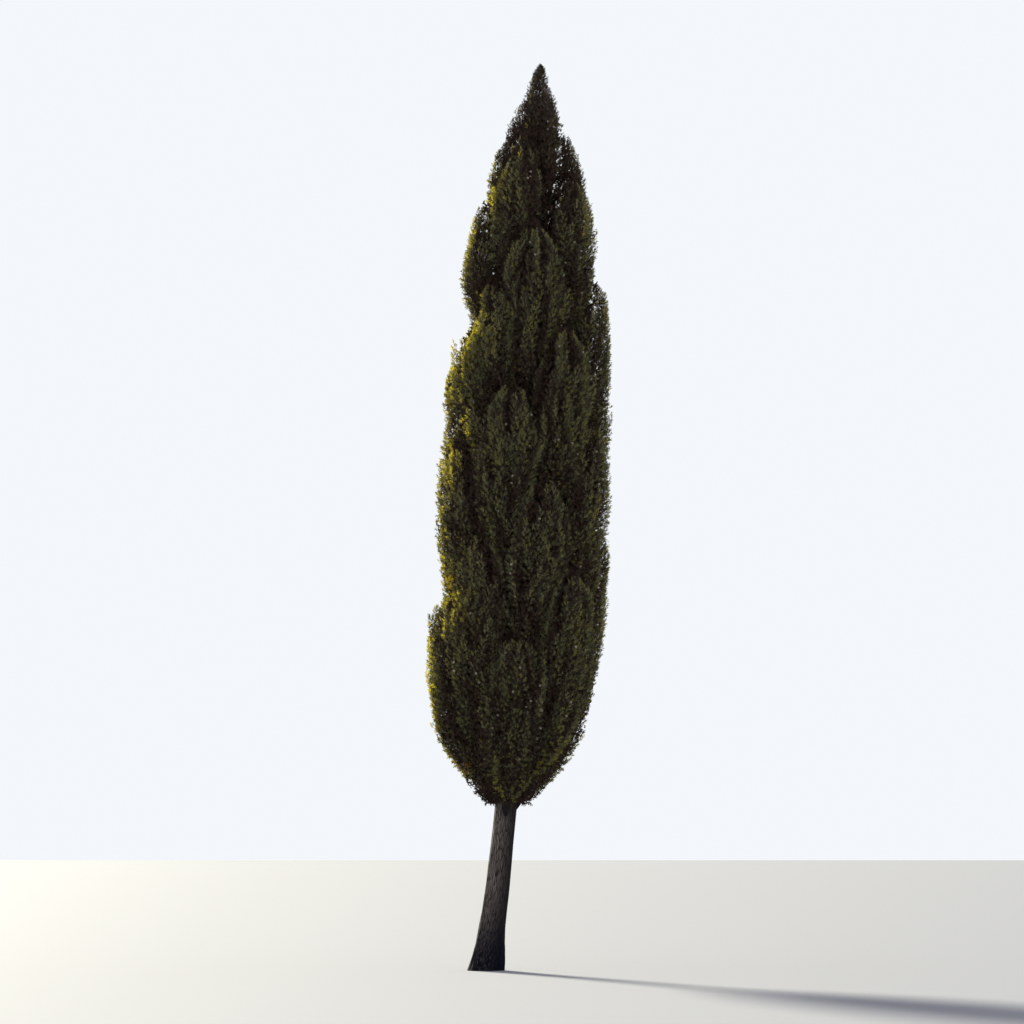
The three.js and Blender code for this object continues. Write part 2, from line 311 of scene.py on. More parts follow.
def bark_finish():
    """Ribs of grey fibres between dark cracks, with painted light on one side, painted shade on the other,
    and painted shade at the foot.
    """
    bark = Finish("grey_brown_bark")
    grain = bark.add("ShaderNodeAttribute", {"attribute_name": GRAIN}, {}).outputs["Vector"]
    strips = bark.add("ShaderNodeMapping", {}, {"Vector": grain, "Scale": (1, 1, 0.09)}).outputs[0]
    wander = bark.add("ShaderNodeTexNoise", {}, {"Vector": strips, "Scale": 14, "Detail": 2})
    bent = bark.add(
        "ShaderNodeVectorMath",
        {"operation": "MULTIPLY_ADD"},
        {0: wander.outputs["Color"], 1: (0.03, 0.03, 0.03), 2: strips},
    ).outputs[0]
    cracks = bark.add(
        "ShaderNodeTexVoronoi", {"feature": "DISTANCE_TO_EDGE"}, {"Vector": bent, "Scale": 50}
    )
    fibres = bark.add("ShaderNodeTexNoise", {}, {"Vector": bent, "Scale": 130, "Detail": 5})
    patches = bark.add("ShaderNodeTexNoise", {}, {"Vector": grain, "Scale": 3.2, "Detail": 4})
    height = bark.add("ShaderNodeSeparateXYZ", {}, {"Vector": grain})
    rib = bark.amount(cracks, "Distance").ranged(0.0, 0.10)
    fibre = bark.amount(fibres, "Fac").ranged(0.36, 0.70)
    patch = bark.amount(patches, "Fac").ranged(0.35, 0.65)
    # Painted shade: darker towards the foot, a little less on the fibred ridges.
    foot_shade = (1 - bark.amount(height, "Z").ranged(0.1, 1.15)) * (1.0 - 0.3 * rib * fibre)
    # Painted light and shade: the bark is lighter on the side that faces the light, and darker on the far
    # side.
    sideways = bark.add("ShaderNodeVectorMath", {"operation": "DOT_PRODUCT"}, {0: grain, 1: PAINTED_LIGHT_SIDE})
    painted_light = bark.amount(sideways, "Value").ranged(-0.09, 0.12)
    ribbed = bark.blend(rib, FISSURE_AND_SHADE_COLOUR, BARK_COLOUR)
    # Painted highlight: the ridges' pale fibres show more on the lit side.
    fibred = bark.blend(rib * fibre * (0.20 + 0.15 * patch + 0.60 * painted_light), ribbed, RIDGE_COLOUR)
    # Painted shade: the far side darkens towards the cracks' colour.
    painted_side_shade = bark.blend(0.1 + 0.9 * painted_light, FISSURE_AND_SHADE_COLOUR, fibred)
    bark.feed(bark.shader.inputs["Base Color"], bark.blend(foot_shade, painted_side_shade, FOOT_SHADE_COLOUR))
    bark.feed(bark.shader.inputs["Roughness"], 0.97 - 0.12 * rib * fibre)
    relief = bark.add(
        "ShaderNodeBump", {}, {"Height": rib * 0.65 + fibre * 0.35, "Strength": 0.8, "Distance": 0.008}
    )
    bark.feed(bark.shader.inputs["Normal"], relief.outputs[0])
    bark.shader.inputs["Specular IOR Level"].default_value = 0.08
    return bark.material


bark = bark_finish()
trunk.data.materials.append(bark)
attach(trunk, "root")
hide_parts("trunk")


# Boughs and limbs: each bough leaves the trunk at a steep angle and runs on as the limb of its plume,
# out from the leafless room round the trunk and then straight up to just under the plume's tip.
# They are round, tapering and covered in the trunk's bark. The last one is the trunk's own shoot.
CROWN_FOOT = 2.08
CROWN_TOP = 12.0
CROWN_RADIUS = 1.175
CROWN_WIDEST = 0.24
BLUNTNESS = 3.5  # exponent of the upper outline of the crown and of a plume: 1 is a cone
ROUNDNESS = 2.4  # exponent of their lower outline: 2 is an ellipse
SIDE_PLUMES = 29
LEADER = SIDE_PLUMES  # the plume on the trunk's tip comes last
GOLDEN_ANGLE = math.pi * (3 - math.sqrt(5))
LOWEST_TIP = 4.3
TIP_STEP = 0.255
LOWEST_FOOT = 2.19
HIGHEST_FOOT = 9.5
FOOT_SPREAD = 1.5
PLUME_SEED = 2024
TIP_VARIETY = 0.06
TURN_VARIETY = 0.12
FULLNESS_VARIETY = 0.1
PLUME_FACING_LEFT = 2
PLUME_WIDEST = 0.45
PLUME_RADIUS_SHARE = 0.54
PLUME_TIP_SHARE = 0.78
PLUME_SWING = 0.5
HOLLOW_LOW = 0.12  # from the trunk out to the foliage, at the crown's foot
HOLLOW_HIGH = 0.014
LEADER_FOOT = 9.7
LEADER_RADIUS = 0.54
LEADER_WIDEST = 0.42
LEADER_BLUNTNESS = 1.3
LIMB_SLIMNESS = 0.013  # radius for each metre of the plume's height
LIMB_TIP_RADIUS = 0.004
LIMB_END = 0.93
LIMB_POINTS = 22
LIMB_SPACING = 1.2  # exponent: above 1 its points stand closer towards the foot
LIMB_TAPER = 0.9  # exponent: 1 is a cone
LEADER_COVER = 1.05  # on the leader, its radius in trunk radii
BOUGH_POINTS = 6
BOUGH_BEND = 0.5  # how early a bough turns upright, as a share of its length
BOUGH_FOOT_WIDENING = 1.25
LIMB_RELIEF = (0.006, 6)
ABOVE_FOOT_SHADE = 3  # boughs have the bark that the trunk has this much higher up, clear of the painted shade at its foot


def plume_table():
    """Each plume's direction, foot, tip and fullness, by the same seeded sums as in the solids."""
    seed = PLUME_SEED

    def vary(spread):
        nonlocal seed
        seed = (seed * 1664525 + 1013904223) % 4294967296
        return (seed / 4294967296 * 2 - 1) * spread

    rows = []
    for i in range(SIDE_PLUMES):
        tip = LOWEST_TIP + TIP_STEP * i + vary(TIP_VARIETY)
        angle = math.pi + (i - PLUME_FACING_LEFT) * GOLDEN_ANGLE + vary(TURN_VARIETY)
        climb = (i / (SIDE_PLUMES - 1)) ** FOOT_SPREAD
        foot = between(LOWEST_FOOT, HIGHEST_FOOT, climb)
        rows.append((angle, foot, tip, 1 + vary(FULLNESS_VARIETY)))
    rows.append((0, LEADER_FOOT, CROWN_TOP, 1))
    return np.array(rows).T


plume_angle, plume_foot, plume_tip, plume_fullness = plume_table()
plume_height = plume_tip - plume_foot


def compass(angle):
    """Level directions of length 1."""
    return np.stack([np.cos(angle), np.sin(angle), np.zeros_like(angle)], axis=-1)


def ramp(value, start, end):
    """0 at start and before it, 1 at end and beyond, and rising evenly between them."""
    return np.clip((value - start) / (end - start), 0, 1)


def spire(share, widest, bluntness):
    """Half width of a spire at a share of its height, with a round foot and a pointed tip."""
    below = ramp(share, widest, 0)
    above = ramp(share, widest, 1)
    foot = np.maximum(0, 1 - below**ROUNDNESS) ** (1 / ROUNDNESS)
    width = np.where(share < widest, foot, 1 - above**bluntness)
    return np.where((share <= 0) | (share >= 1), 0, width)


def crown_share(z):
    return ramp(z, CROWN_FOOT, CROWN_TOP)


def crown_radius(z):
    return CROWN_RADIUS * spire(crown_share(z), CROWN_WIDEST, BLUNTNESS)


def hollow_radius(z):
    """Of the leafless room round the trunk."""
    return trunk_radius(z) + between(HOLLOW_LOW, HOLLOW_HIGH, crown_share(z))


def plume_share(plume, z):
    return ramp(z, plume_foot[plume], plume_tip[plume])


def plume_level(plume, share):
    """The height z at a share of a plume's own height."""
    return between(plume_foot[plume], plume_tip[plume], share)


def heart(plume, z):
    """The middle of a plume at height z. Its limb runs through these points."""
    inner = hollow_radius(z)
    outer = PLUME_TIP_SHARE * crown_radius(z)
    out = inner + np.maximum(0, outer - inner) * plume_share(plume, z) ** PLUME_SWING
    out = np.where(plume == LEADER, 0, out)
    return trunk_axis(z) + out[..., None] * compass(plume_angle[plume])


def bough_path(plume):
    """From the trunk, below the plume's foot, out and up to it in one bend."""
    foot = plume_foot[plume]
    end = heart(plume, foot)
    start = trunk_axis(foot - hollow_radius(foot))
    heading = heart(plume, plume_level(plume, 0.03)) - end
    bend = end - heading / np.linalg.norm(heading) * BOUGH_BEND * np.linalg.norm(end - start)
    along = np.linspace(0, 1, BOUGH_POINTS, endpoint=False)[:, None]
    return (1 - along) ** 2 * start + 2 * along * (1 - along) * bend + along**2 * end


def limb_path(plume):
    """Middle and radius of a bough and of the limb that it becomes."""
    share = np.linspace(0, LIMB_END, LIMB_POINTS) ** LIMB_SPACING
    upper = heart(np.full(LIMB_POINTS, plume), plume_level(plume, share))
    stout = LIMB_SLIMNESS * plume_height[plume]
    thin = between(LIMB_TIP_RADIUS, stout, (1 - share) ** LIMB_TAPER)
    if plume == LEADER:
        return upper, np.minimum(thin, trunk_radius(upper[:, 2]) * LEADER_COVER)
    lower = bough_path(plume)
    thick = np.linspace(BOUGH_FOOT_WIDENING, 1, BOUGH_POINTS) * stout
    return np.vstack([lower, upper]), np.concatenate([thick, thin])


def limbs_mesh():
    """All limbs as round tubes round their paths, joined."""
    lines = bpy.data.curves.new("limb_paths", "CURVE")
    lines.dimensions = "3D"
    lines.bevel_depth = 1
    lines.bevel_resolution = 2
    lines.use_fill_caps = True
    for plume in range(LEADER + 1):
        middle, radius = limb_path(plume)
        line = lines.splines.new("POLY")
        line.points.add(len(middle) - 1)
        line.points.foreach_set("co", np.hstack([middle, np.ones((len(middle), 1))]).ravel())
        line.points.foreach_set("radius", radius)
    deselect_all()
    limbs = bpy.data.objects.new("boughs_and_limbs", lines)
    bpy.context.scene.collection.objects.link(limbs)
    make_active(limbs)
    bpy.ops.object.convert(target="MESH")
    return bpy.context.object


limbs = limbs_mesh()
subdivide(limbs, "SIMPLE", 1)
roughen(limbs, fissures, *LIMB_RELIEF)
keep_grain(limbs, points_of(limbs) + [0, 0, ABOVE_FOOT_SHADE])
bpy.ops.object.shade_smooth_by_angle(angle=SMOOTH_ANGLE)
limbs.data.materials.append(bark)
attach(limbs, "root")
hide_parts(*[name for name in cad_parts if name.startswith("bough_")])


# Twigs: side shoots that leave a plume's limb all the way up, in a spiral, and turn up at their ends.
# Each is a thin brown stem with three sides, and bears one tuft of sprays on its outer half.
# They stand closest on the crown's outer side and thin out in the shade between two plumes.
TUFT_AREA = 0.040  # of the plume's surface for one tuft
LEADER_CLOSENESS = 0.62  # on the leader, of that area
FULL_REACH = 0.42  # of a plume whose tufts have their full size
SMALLEST_TUFT = 0.4  # share of that size
WALL_RUN = 0.2  # how far past its foot and tip a plume still keeps its neighbours off
TUFT_RUN = (0.005, 0.94)  # where tufts stand, as shares of the plume's height
TUFT_SPACING = 1.12  # exponent: above 1 they stand closer towards the foot
ROOM_ABOVE = 0.2  # above a tuft's foot, where its room and light are measured
SIZE_ABOVE = 0.25  # above a tuft's foot, where its size is
LIT_FROM = (0.55, 0.90)  # shares of the crown's radius: shade up to the first, full light from the second
FULL_ROOM = 0.3  # own reach from which no tuft is left out for want of room
LEAST_KEPT = 0.25  # share of the tufts that stay without room
LEADER_LEAST_KEPT = 0.7
SHADE_SHARE = 0.22  # of the tufts that stay deep in the crown
NARROW_CROWN = 0.8  # below this radius of the crown more of them stay
NARROW_SHARE = 0.5  # how many more at most
TUFT_RISE = 0.58
RISE_LIMIT = 0.85  # of the height left below its plume's tip
SHORT_RISE = 0.5  # of that rise, on a plume's underside and on the tree's thin tip
UNDERSIDE = 0.16  # share of a plume's height where its tufts spread out along its underside
TUFT_ROOT = 0.60  # where a tuft begins, as a share of the plume's own reach
LOW_ROOT = 0.3  # of that, on the underside
TUFT_BEND = 0.4  # height of its bend, as a share of its rise
TUFT_BULGE = 0.84  # how far out the bend is, as a share of the plume's own reach
TUFT_LEAN = 0.22  # how far a tuft may turn aside, in radians
RIDGES = 5  # upright ridges round each plume, each with a tip of its own
RIDGE_PHASE = 2.4  # radians from one plume's ridges to the next one's
RIDGE_TWIST = 0.9  # radians of the pattern per metre of height
LEADER_TWIST = 27  # on the leader, where the pattern makes knobs instead of ridges
RIDGE_TIP = 0.94  # where a tuft ends on a ridge, as a share of the plume's own reach
FURROW_TIP = 0.74
LEADER_FURROW = 0.50
OUTERMOST = 0.98  # no tuft ends farther out than this
RAGGED = 0.05  # how unevenly tufts end
RAGGED_SLIM = 3  # times that, where slimness is 0
RIDGE_TOP = 0.98  # how high a ridge runs, as a share of the plume's height
FURROW_TOP = 0.62
TIP_FOOT = 11.1  # the tree's thin tip begins above this height
TIP_SHOULDER = 0.45  # height over which slimness would fall to 0
TIP_SLIMNESS = 0.40  # where it stops
KNOBS = 0.6  # how far the knobs stand out of the thin tip
# Foot, height and depth of the dents in the crown's left outline, above the tips of lower plumes
DENTS = ((8.30, 0.65, 0.36), (6.93, 0.55, 0.13), (4.72, 1.10, 0.19))
DENT_EDGE = 0.1  # height over which a dent sets in at its foot
DENT_CLEARANCE = 0.4  # only plumes whose tips are higher than this above a dent's foot have it
NOTCHED = (8.6, 9.8)  # between these heights a spiral of notches round the crown sets in
NOTCH_TWIST = 18  # radians of the spiral per metre of height
NOTCH_DEPTH = 0.38  # as a share of the plume's own reach
NOTCH_BULGE = 0.7  # of that depth, at a tuft's bend
NOTCH_AT = (0.6, 0.9)  # where it is measured, as shares of a tuft's rise and of its plume's reach
TWIG_RADIUS = 0.0055
TWIG_TIP_RADIUS = 0.0016
TWIG_SIDES = 3
TWIG_RINGS = 6
TWIG_STEEPNESS = 0.75  # climb for each metre out, from the limb to a tuft's foot
TWIG_BEND = (0.55, 0.55, 0.4)  # its second ring, as shares of the way outward and up
TWIG_END = 0.9  # of its tuft
chance = np.random.default_rng(41)


def reach(plume, z):
    """How far a plume's foliage may reach from its heart."""
    share = plume_share(plume, z)
    side = PLUME_RADIUS_SHARE * plume_fullness[plume] * crown_radius(z)
    side = side * spire(share, PLUME_WIDEST, BLUNTNESS)
    return np.where(plume == LEADER, LEADER_RADIUS * spire(share, LEADER_WIDEST, LEADER_BLUNTNESS), side)


def own_reach(plume, z, angle):
    """How far a plume's own space reaches from its heart at height z, in one direction."""
    middle = heart(plume, z)
    way = compass(angle)
    room = reach(plume, z)
    limit = room.copy()

    def wall(distance, towards, standing):
        facing = (way * towards).sum(-1) / np.maximum(1e-9, np.linalg.norm(towards, axis=-1))
        blocked = standing & (facing > 1e-6)
        return np.where(blocked, np.minimum(limit, distance / np.where(blocked, facing, 1)), limit)

    for other in range(LEADER + 1):
        beside = np.full(z.shape, other)
        standing = (plume != other) & (z > plume_foot[other] - WALL_RUN) & (z < plume_tip[other] + WALL_RUN)
        towards = heart(beside, z) - middle
        distance = np.linalg.norm(towards, axis=-1)
        limit = wall(distance * room / np.maximum(1e-9, room + reach(beside, z)), towards, standing)
    inward = trunk_axis(z) - middle
    away = np.linalg.norm(inward, axis=-1)
    limit = wall(away - hollow_radius(z), inward, plume != LEADER)
    side = (way * inward).sum(-1)
    crown = side + np.sqrt(np.maximum(0, side**2 + crown_radius(z) ** 2 - away**2))
    return np.maximum(0, np.where(plume == LEADER, limit, np.minimum(limit, crown)))


def edge_point(plume, z, angle, share):
    """A point on the way out from a plume's heart, at a share of its own reach."""
    out = share * own_reach(plume, z, angle)
    return heart(plume, z) + out[:, None] * compass(angle)


def outwardness(points):
    """1 at the crown's outline and 0 at the trunk."""
    away = np.linalg.norm((points - trunk_axis(points[:, 2]))[:, :2], axis=-1)
    return away / np.maximum(0.05, crown_radius(points[:, 2]))


def ridge(plume, z, angle):
    """1 on a plume's ridge and 0 in a furrow between two."""
    twist = np.where(plume == LEADER, LEADER_TWIST, RIDGE_TWIST)
    return 0.5 + 0.5 * np.cos(RIDGES * angle + RIDGE_PHASE * plume + twist * z)


def notch(points):
    """1 in the middle of a notch in the upper crown's outline, and 0 on a knob and lower down."""
    away = points - trunk_axis(points[:, 2])
    around = np.arctan2(away[:, 1], away[:, 0])
    wave = 0.5 - 0.5 * np.cos(around + NOTCH_TWIST * points[:, 2])
    return wave * ramp(points[:, 2], *NOTCHED)


def dented(points, plume_top):
    """The points of plumes with these tips, drawn in where the crown's left side has a dent."""
    moved = points.copy()
    z = points[:, 2]
    left = np.minimum(0, points[:, 0] - trunk_axis(z)[:, 0])
    for foot, height, depth in DENTS:
        share = ramp(z, foot - DENT_EDGE, foot) * ramp(z, foot + height, foot)
        share = np.where(plume_top > foot + DENT_CLEARANCE, share, 0)
        moved[:, 0] -= share * depth * left / np.maximum(1e-9, crown_radius(z))
    return moved


def slimness(z):
    """1 up to the foot of the tree's thin tip, and a small share on it."""
    return np.clip(1 - (z - TIP_FOOT) / TIP_SHOULDER, TIP_SLIMNESS, 1)


def tuft_places():
    """Plume, height and direction of every tuft's foot, dealt out in a spiral round each limb."""
    plumes, heights, angles = [], [], []
    for plume in range(LEADER + 1):
        widest = reach(np.array([plume]), plume_level(plume, PLUME_WIDEST))[0]
        area = TUFT_AREA * min(1, widest / FULL_REACH) ** 2 * (LEADER_CLOSENESS if plume == LEADER else 1)
        count = int(2 * math.pi * widest * plume_height[plume] / area)
        step = (np.arange(count) + chance.uniform(0.2, 0.8, count)) / count
        plumes.append(np.full(count, plume))
        heights.append(plume_level(plume, between(*TUFT_RUN, step**TUFT_SPACING)))
        angles.append(np.arange(count) * GOLDEN_ANGLE + chance.normal(0, 0.15, count))
    plume, z, angle = (np.concatenate(part) for part in (plumes, heights, angles))
    lit = ramp(outwardness(edge_point(plume, z + ROOM_ABOVE, angle, 1.0)), *LIT_FROM)
    least = np.where(plume == LEADER, LEADER_LEAST_KEPT, LEAST_KEPT)
    room = np.clip(own_reach(plume, z + ROOM_ABOVE, angle) / FULL_ROOM, least, 1)
    shade = SHADE_SHARE + NARROW_SHARE * ramp(crown_radius(z), NARROW_CROWN, 0)
    keep = chance.random(len(z)) < between(shade, 1, lit) * room
    top = between(FURROW_TOP, RIDGE_TOP, ridge(plume, z, angle)) + chance.normal(0, 0.08, len(z))
    keep &= (plume_share(plume, z) < top) | (plume == LEADER)
    return plume[keep], z[keep], angle[keep], lit[keep]


tuft_plume, tuft_foot, tuft_angle, tuft_lit = tuft_places()
tufts = len(tuft_plume)
tuft_slim = slimness(tuft_foot)
tuft_fullness = reach(tuft_plume, tuft_foot + SIZE_ABOVE) / FULL_REACH
tuft_size = np.clip(tuft_fullness, SMALLEST_TUFT, 1) * chance.uniform(0.8, 1.15, tufts)
tuft_low = ramp(plume_share(tuft_plume, tuft_foot), UNDERSIDE, 0)
tuft_rise = np.minimum(TUFT_RISE * tuft_size, RISE_LIMIT * (plume_tip[tuft_plume] - tuft_foot))
tuft_rise *= between(1, SHORT_RISE, tuft_low) * between(SHORT_RISE, 1, tuft_slim)
tuft_turned = tuft_angle + chance.normal(0, TUFT_LEAN, tufts)

# How far out each tuft ends and bends
tuft_ridge = ridge(tuft_plume, tuft_foot, tuft_angle)
tuft_out = between(np.where(tuft_plume == LEADER, LEADER_FURROW, FURROW_TIP), RIDGE_TIP, tuft_ridge)
tuft_out = tuft_out + chance.normal(0, RAGGED, tufts) * between(RAGGED_SLIM, 1, tuft_slim)
tuft_out = np.minimum(OUTERMOST, tuft_out) * tuft_slim ** (1 - KNOBS * tuft_ridge)
notch_height = tuft_foot + NOTCH_AT[0] * tuft_rise
tuft_notch = NOTCH_DEPTH * notch(edge_point(tuft_plume, notch_height, tuft_turned, NOTCH_AT[1]))
tuft_out *= 1 - tuft_notch
tuft_bulge = TUFT_BULGE * (1 - NOTCH_BULGE * tuft_notch)

# Its bent line, by its start, bend and end
tuft_in = TUFT_ROOT * chance.uniform(0.8, 1.1, tufts) * between(1, LOW_ROOT, tuft_low)
tuft_start = edge_point(tuft_plume, tuft_foot, tuft_angle, tuft_in)
tuft_halfway = (tuft_angle + tuft_turned) / 2
tuft_middle = edge_point(tuft_plume, tuft_foot + TUFT_BEND * tuft_rise, tuft_halfway, tuft_bulge)
tuft_end = edge_point(tuft_plume, tuft_foot + tuft_rise, tuft_turned, tuft_out)
tuft_top = plume_tip[tuft_plume]
tuft_start = dented(tuft_start, tuft_top)
tuft_middle = dented(tuft_middle, tuft_top)
tuft_shift = dented(tuft_end, tuft_top) - tuft_end
tuft_end = tuft_end + tuft_shift


def along_tuft(tuft, share):
    """Point and heading on a tuft's bent middle line."""
    left = (1 - share)[:, None]
    gone = share[:, None]
    start, middle, end = tuft_start[tuft], tuft_middle[tuft], tuft_end[tuft]
    point = left**2 * start + 2 * left * gone * middle + gone**2 * end
    heading = left * (middle - start) + gone * (end - middle)
    return point, heading / np.maximum(1e-9, np.linalg.norm(heading, axis=1))[:, None]


def across(heading, hint):
    """Two directions square to the heading. The first is the nearest one to hint."""
    first = hint - (hint * heading).sum(1)[:, None] * heading
    first /= np.maximum(1e-9, np.linalg.norm(first, axis=1))[:, None]
    return first, np.cross(heading, first)


def joined_mesh(name, corners, triangles, material, nodes):
    """One piece from the corners and triangles of many small things."""
    mesh = bpy.data.meshes.new(name)
    mesh.vertices.add(len(corners))
    mesh.vertices.foreach_set("co", corners.astype(np.float32).ravel())
    mesh.loops.add(triangles.size)
    mesh.loops.foreach_set("vertex_index", triangles.astype(np.int32).ravel())
    mesh.polygons.add(len(triangles))
    mesh.polygons.foreach_set("loop_start", np.arange(0, triangles.size, 3, dtype=np.int32))
    mesh.update(calc_edges=True)
    mesh.materials.append(material)
    piece = bpy.data.objects.new(name, mesh)
    bpy.context.scene.collection.objects.link(piece)
    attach(piece, "root")
    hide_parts(*nodes)
    return piece


def twig_tubes():
    """Tubes from the limb below each tuft, out to its foot and on along it."""
    everyone = np.arange(tufts)
    drop = TWIG_STEEPNESS * np.linalg.norm(tuft_start - heart(tuft_plume, tuft_foot), axis=1)
    origin_z = np.maximum(plume_foot[tuft_plume] + 0.02, tuft_foot - drop)
    origin = heart(tuft_plume, origin_z)
    rings = [origin, origin + (tuft_start - origin) * TWIG_BEND]
    for share in np.linspace(0, TWIG_END, TWIG_RINGS - 2):
        rings.append(along_tuft(everyone, np.full(tufts, share))[0])
    middle = np.stack(rings, axis=1)
    heading = np.gradient(middle, axis=1)
    heading /= np.maximum(1e-9, np.linalg.norm(heading, axis=2))[:, :, None]
    hint = np.cross(compass(tuft_angle), [0, 0, 1])[:, None, :] + np.zeros_like(heading)
    first, second = across(heading.reshape(-1, 3), hint.reshape(-1, 3))
    radius = np.linspace(TWIG_RADIUS, TWIG_TIP_RADIUS, TWIG_RINGS)[None, :, None, None]
    turns = np.arange(TWIG_SIDES) * 2 * math.pi / TWIG_SIDES
    around = first[:, None, :] * np.cos(turns)[:, None] + second[:, None, :] * np.sin(turns)[:, None]
    corners = middle[:, :, None, :] + radius * around.reshape(tufts, TWIG_RINGS, TWIG_SIDES, 3)
    faces = []
    for ring in range(TWIG_RINGS - 1):
        for side in range(TWIG_SIDES):
            low = ring * TWIG_SIDES + side
            next_low = ring * TWIG_SIDES + (side + 1) % TWIG_SIDES
            faces.append((low, next_low, next_low + TWIG_SIDES))
            faces.append((low, next_low + TWIG_SIDES, low + TWIG_SIDES))
    faces.append((0, 2, 1))
    top = TWIG_SIDES * (TWIG_RINGS - 1)
    faces.append((top, top + 1, top + 2))
    base = np.arange(tufts)[:, None, None] * TWIG_SIDES * TWIG_RINGS
    return corners.reshape(-1, 3), (np.array(faces)[None] + base).reshape(-1, 3)


def plain_finish(name, colour, roughness):
    """One matt colour all over."""
    finish = Finish(name)
    finish.shader.inputs["Base Color"].default_value = (*colour, 1)
    finish.shader.inputs["Roughness"].default_value = roughness
    finish.shader.inputs["Specular IOR Level"].default_value = 0.1
    return finish


FOLIAGE_NODES = sorted(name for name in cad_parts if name.startswith("foliage_"))
twig_corners, twig_faces = twig_tubes()
twig_wood = plain_finish("twig_wood", (0.075, 0.048, 0.034), 0.85).material
joined_mesh("twigs", twig_corners, twig_faces, twig_wood, FOLIAGE_NODES)


# Sprays: the branching tips that carry the scale leaves. Each is a slim shoot with side shoots that
# point forward, seven in the light and four in the shade, and 27 sprays stand round a tuft in a spiral,
# closer to its line towards its tip. They are olive, and their colours are painted light and shade:
# yellower at the lit edge, a painted highlight on paler fresh growth, and brown inside, painted shade
# on partly dead growth.
SPRAYS_PER_TUFT = 27
LAST_SPRAY = 0.98  # where they end on its line
ANY_TURN = 7  # radians, a little more than a full turn
GATHERED = 0.4  # how much they gather on its outer side
TUFT_GIRTH = 0.055  # how far from its line they may stand
TIP_GIRTH = 0.25  # of that, at its tip
SPRAY_LENGTH = 0.094
SPRAY_LENGTHS = (1.15, 0.75)  # of that length, at a tuft's foot and at its tip
SHORT_SPRAYS = 0.62  # of it, in the smallest tufts
SLIM_SPRAYS = 0.7  # of it, where slimness is 0
SPRAY_SPREAD = (math.radians(62), math.radians(18))  # from the tuft's line, at its foot and at its tip
SIDE_SHOOT_ANGLE = math.radians(42)
SIDE_SHOOT_RUN = (0.06, 0.74)  # where side shoots stand, as shares of the spray's length
SIDE_SHOOT_LENGTHS = (0.62, 0.26)  # if they stood at its foot and at its tip
SIDE_SHOOT_FOOT = 1.1  # how long its foot is, in widths of the spray
# Number of side shoots and their width as a share of the spray's length
FRESH_SHOOTS = (7, 0.155)
SHADED_SHOOTS = (4, 0.20)
INNER_SHOOTS = (4, 0.27)
SPRAY_PATTERNS = 6
MOST_TRIANGLES = 195000
GLOW_COLOUR = (0.52, 0.43, 0.01)  # of the light that thin leaves let through
# For each colour: the tone at which it begins, the colour, and the share of light let through.
# The low tones are painted shade on partly dead growth, the high ones painted light on partly fresh growth.
LEAF_COLOURS = {
    "brown": (-math.inf, (0.062, 0.036, 0.028), 0),
    "deep": (0.30, (0.065, 0.050, 0.036), 0),
    "dark": (0.43, (0.088, 0.080, 0.050), 0.06),
    "mid": (0.54, (0.123, 0.126, 0.073), 0.10),
    "olive": (0.66, (0.172, 0.180, 0.100), 0.16),
    "tip": (0.78, (0.202, 0.198, 0.108), 0.42),
    "rust": (1.5, (0.240, 0.105, 0.045), 0.25),
}
SHADED_COLOURS = ("brown", "deep")
# What a spray's tone is the sum of. The parts for its tuft's tip, its plume's edge, the crown's
# outer side and its tuft's outer side are painted light and shade.
LEAST_TONE = 0.14
TONE_ALONG = 0.20  # at its tuft's tip, as painted light on paler fresh growth
TONE_EDGE = 0.30  # at its plume's edge, as a painted highlight
TONE_LIT = 0.14  # on the crown's outer side, as painted light where it is lit
TONE_OUTER = 0.08  # on its tuft's outer side, as painted light
TONE_PATCH = 0.11  # in the crown's greener patches, and minus this in its browner ones
TUFT_VARIETY = 0.07
SPRAY_VARIETY = 0.09
EDGE_FROM = (0.80, 1.05)  # shares of its own reach at which a plume's edge begins and is full
DARK_TOP = (10.3, 11.0)  # the leaves are painted darker between these heights, as painted shade on the tree's tip
DARKER_BY = 0.3  # in tone, but no darker than deep
WITHERED_AT = ((-0.27, 2.64), (-0.55, 5.05), (-0.74, 4.72))  # X and Z of a few withered tips
WITHERED_RADIUS = 0.12
WITHERED_FRONT = 0.1  # the Y that they stay in front of
WITHERED_TONE = 2
OVERHANG = 0.012  # how far a spray may reach beyond the crown's radius
SLIMMEST_CROWN = 0.07  # that radius at the least
WIDEST_HEIGHT = between(CROWN_FOOT, CROWN_TOP, CROWN_WIDEST)


def spray_corners(side_shoots, width):
    """Corners of one spray, its length 1 along the first axis."""
    corners = [(0, 0, 0), (0.5, width / 2, 0), (1, 0, 0), (0.5, -width / 2, 0)]
    for i in range(side_shoots):
        root = between(*SIDE_SHOOT_RUN, (i + chance.uniform(0.2, 0.8)) / side_shoots)
        length = between(*SIDE_SHOOT_LENGTHS, root) * chance.uniform(0.85, 1.15)
        turn = i * GOLDEN_ANGLE + chance.normal(0, 0.3)
        forward = length * math.cos(SIDE_SHOOT_ANGLE)
        out = length * math.sin(SIDE_SHOOT_ANGLE)
        corners.append((root, 0, 0))
        corners.append((root + forward, out * math.cos(turn), out * math.sin(turn)))
        corners.append((root + width * SIDE_SHOOT_FOOT, 0, 0))
    return corners


def spray_patterns(side_shoots, width):
    """A few unlike sprays, and the triangles that they share."""
    patterns = np.array([spray_corners(side_shoots, width) for _ in range(SPRAY_PATTERNS)])
    triangles = [(0, 1, 2), (0, 2, 3)]
    triangles += [(4 + 3 * i, 5 + 3 * i, 6 + 3 * i) for i in range(side_shoots)]
    return patterns, np.array(triangles)


fresh_sprays = spray_patterns(*FRESH_SHOOTS)
shaded_sprays = spray_patterns(*SHADED_SHOOTS)
inner_sprays = spray_patterns(*INNER_SHOOTS)


def unit(count):
    """Random directions of length 1."""
    ways = chance.normal(size=(count, 3))
    return ways / np.linalg.norm(ways, axis=1)[:, None]


